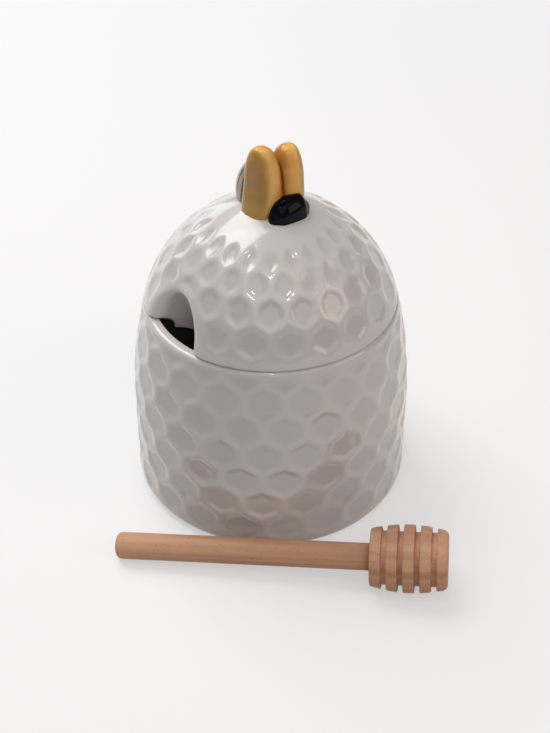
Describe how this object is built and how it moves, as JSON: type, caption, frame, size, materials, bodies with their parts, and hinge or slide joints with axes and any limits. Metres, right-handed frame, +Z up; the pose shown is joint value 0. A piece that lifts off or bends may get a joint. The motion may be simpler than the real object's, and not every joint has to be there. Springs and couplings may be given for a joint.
{
  "type": "honey pot with lid and dipper",
  "caption": "Beehive-shaped glazed honey pot with honeycomb relief, a loose domed lid with a dipper niche and a bee knob, and a turned wooden honey dipper.",
  "frame": {"origin": "centre of the pot's foot ring, on the table", "axes": "+Z up along the pot's axis, -Y towards the front, where the dipper lies"},
  "size_m": [0.1291, 0.1406, 0.1515],
  "materials": {
    "white_glaze": "glossy white glaze over a slip-cast body",
    "amber_glaze": "glossy hand-painted amber glaze, paler along the edges",
    "black_glaze": "glossy black glaze",
    "striped_glaze": "glossy cream glaze with hand-painted black stripes",
    "beech": "bare turned beech, satin, with fine pores and grain"
  },
  "bodies": {
    "pot": {"pot": "white_glaze"},
    "lid": {"lid": "white_glaze", "bee_body": "striped_glaze", "bee_head": "black_glaze", "bee_wing_left": "amber_glaze", "bee_wing_right": "amber_glaze"},
    "dipper": {"dipper_handle": "beech", "dipper_head": "beech"}
  },
  "joints": [
    {"name": "lid_lift", "type": "slide", "parent": "pot", "child": "lid", "axis": [0, 0, 1], "range_m": [0, 0.12]},
    {"name": "dipper_lift", "type": "slide", "parent": "pot", "child": "dipper", "axis": [0, 0, 1], "range_m": [0, 0.15]}
  ]
}
